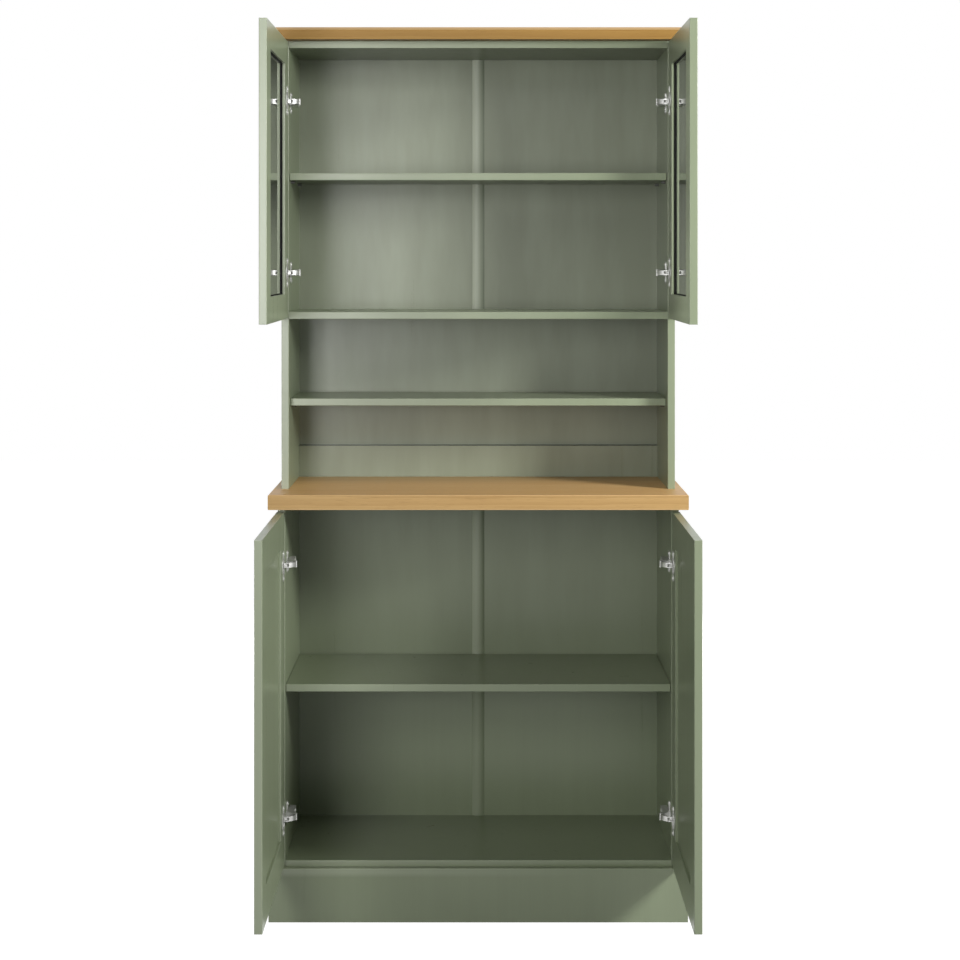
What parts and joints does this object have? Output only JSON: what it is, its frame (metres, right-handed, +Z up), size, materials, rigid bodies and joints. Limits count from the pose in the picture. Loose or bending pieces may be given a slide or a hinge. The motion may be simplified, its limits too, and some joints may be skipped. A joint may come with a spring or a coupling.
{
  "type": "kitchen buffet cabinet with glazed hutch",
  "caption": "Two-part kitchen buffet: base cupboard with an oak worktop, open niche and glazed cupboard above, framed doors on concealed hinges.",
  "frame": {"origin": "on the floor, under the middle of the part's box as it stands with its doors open", "axes": "+X to the right of someone facing the doors, +Y towards the wall behind, +Z up"},
  "size_m": [0.84, 0.7366, 1.8],
  "materials": {
    "painted_board": "satin sage green paint on board",
    "joining_strip": "satin sage green extrusion",
    "oak": "clear matt lacquer on honey oak",
    "hinge_steel": "nickel plated",
    "pin_steel": "nickel plated",
    "zinc": "die-cast zinc",
    "beech": "plain beech",
    "clear_glass": "clear"
  },
  "bodies": {
    "cabinet": {"base_bottom_panel": "painted_board", "base_top_rails": "painted_board", "base_shelf": "painted_board", "base_side_right": "painted_board", "base_side_left": "painted_board", "base_back_right": "painted_board", "base_back_left": "painted_board", "plinth_front": "painted_board", "plinth_sides": "painted_board", "plinth_back_rail": "painted_board", "upper_top_panel": "painted_board", "cupboard_bottom_panel": "painted_board", "cupboard_shelf": "painted_board", "niche_shelf": "painted_board", "niche_back_rail": "painted_board", "upper_side_right": "painted_board", "upper_side_left": "painted_board", "cupboard_back_right": "painted_board", "cupboard_back_left": "painted_board", "niche_back_panel": "painted_board", "base_back_strip": "joining_strip", "cupboard_back_strip": "joining_strip", "worktop": "oak", "cornice": "oak", "shelf_pins": "pin_steel", "dowels": "beech", "cam_fittings": "zinc", "hinge_plates": "hinge_steel", "hinge_arms": "hinge_steel", "hinge_arm_pins": "hinge_steel", "hinge_screws": "hinge_steel", "board_screws": "pin_steel"},
    "lower_left_door": {"lower_left_stiles": "painted_board", "lower_left_rails": "painted_board", "lower_left_panel": "painted_board", "lower_left_hinge_cups": "hinge_steel", "lower_left_cup_screws": "hinge_steel"},
    "lower_left_outer_links_pair": {"lower_left_outer_links": "hinge_steel"},
    "lower_left_inner_links_pair": {"lower_left_inner_links": "hinge_steel"},
    "lower_right_door": {"lower_right_stiles": "painted_board", "lower_right_rails": "painted_board", "lower_right_panel": "painted_board", "lower_right_hinge_cups": "hinge_steel", "lower_right_cup_screws": "hinge_steel"},
    "lower_right_outer_links_pair": {"lower_right_outer_links": "hinge_steel"},
    "lower_right_inner_links_pair": {"lower_right_inner_links": "hinge_steel"},
    "upper_left_door": {"upper_left_stiles": "painted_board", "upper_left_rails": "painted_board", "upper_left_glass": "clear_glass", "upper_left_hinge_cups": "hinge_steel", "upper_left_cup_screws": "hinge_steel"},
    "upper_left_outer_links_pair": {"upper_left_outer_links": "hinge_steel"},
    "upper_left_inner_links_pair": {"upper_left_inner_links": "hinge_steel"},
    "upper_right_door": {"upper_right_stiles": "painted_board", "upper_right_rails": "painted_board", "upper_right_glass": "clear_glass", "upper_right_hinge_cups": "hinge_steel", "upper_right_cup_screws": "hinge_steel"},
    "upper_right_outer_links_pair": {"upper_right_outer_links": "hinge_steel"},
    "upper_right_inner_links_pair": {"upper_right_inner_links": "hinge_steel"}
  },
  "joints": [
    {"name": "lower_left_door_hinge", "type": "hinge", "parent": "cabinet", "child": "lower_left_door", "pos_m": [-0.3975, 0.02775, 0], "axis": [0, 0, 1], "range_deg": [-10, 90]},
    {"name": "lower_left_outer_links_pivot", "type": "hinge", "parent": "cabinet", "child": "lower_left_outer_links_pair", "pos_m": [-0.3665, 0.04095, 0], "axis": [0, 0, 1], "range_deg": [-16.7, 2.3]},
    {"name": "lower_left_inner_links_pivot", "type": "hinge", "parent": "cabinet", "child": "lower_left_inner_links_pair", "pos_m": [-0.372, 0.04625, 0], "axis": [0, 0, 1], "range_deg": [-15.8, 2.2]},
    {"name": "lower_right_door_hinge", "type": "hinge", "parent": "cabinet", "child": "lower_right_door", "pos_m": [0.3975, 0.02775, 0], "axis": [0, 0, 1], "range_deg": [-90, 10]},
    {"name": "lower_right_outer_links_pivot", "type": "hinge", "parent": "cabinet", "child": "lower_right_outer_links_pair", "pos_m": [0.3665, 0.04095, 0], "axis": [0, 0, 1], "range_deg": [-2.3, 16.7]},
    {"name": "lower_right_inner_links_pivot", "type": "hinge", "parent": "cabinet", "child": "lower_right_inner_links_pair", "pos_m": [0.372, 0.04625, 0], "axis": [0, 0, 1], "range_deg": [-2.2, 15.8]},
    {"name": "upper_left_door_hinge", "type": "hinge", "parent": "cabinet", "child": "upper_left_door", "pos_m": [-0.3975, 0.10375, 0], "axis": [0, 0, 1], "range_deg": [-10, 90]},
    {"name": "upper_left_outer_links_pivot", "type": "hinge", "parent": "cabinet", "child": "upper_left_outer_links_pair", "pos_m": [-0.3665, 0.11695, 0], "axis": [0, 0, 1], "range_deg": [-16.7, 2.3]},
    {"name": "upper_left_inner_links_pivot", "type": "hinge", "parent": "cabinet", "child": "upper_left_inner_links_pair", "pos_m": [-0.372, 0.12225, 0], "axis": [0, 0, 1], "range_deg": [-15.8, 2.2]},
    {"name": "upper_right_door_hinge", "type": "hinge", "parent": "cabinet", "child": "upper_right_door", "pos_m": [0.3975, 0.10375, 0], "axis": [0, 0, 1], "range_deg": [-90, 10]},
    {"name": "upper_right_outer_links_pivot", "type": "hinge", "parent": "cabinet", "child": "upper_right_outer_links_pair", "pos_m": [0.3665, 0.11695, 0], "axis": [0, 0, 1], "range_deg": [-2.3, 16.7]},
    {"name": "upper_right_inner_links_pivot", "type": "hinge", "parent": "cabinet", "child": "upper_right_inner_links_pair", "pos_m": [0.372, 0.12225, 0], "axis": [0, 0, 1], "range_deg": [-2.2, 15.8]}
  ],
  "couplings": [
    {"joint": "lower_left_outer_links_pivot", "follows": "lower_left_door_hinge", "ratio": -0.18},
    {"joint": "lower_left_inner_links_pivot", "follows": "lower_left_door_hinge", "ratio": -0.17},
    {"joint": "lower_right_outer_links_pivot", "follows": "lower_right_door_hinge", "ratio": -0.18},
    {"joint": "lower_right_inner_links_pivot", "follows": "lower_right_door_hinge", "ratio": -0.17},
    {"joint": "upper_left_outer_links_pivot", "follows": "upper_left_door_hinge", "ratio": -0.18},
    {"joint": "upper_left_inner_links_pivot", "follows": "upper_left_door_hinge", "ratio": -0.17},
    {"joint": "upper_right_outer_links_pivot", "follows": "upper_right_door_hinge", "ratio": -0.18},
    {"joint": "upper_right_inner_links_pivot", "follows": "upper_right_door_hinge", "ratio": -0.17}
  ]
}
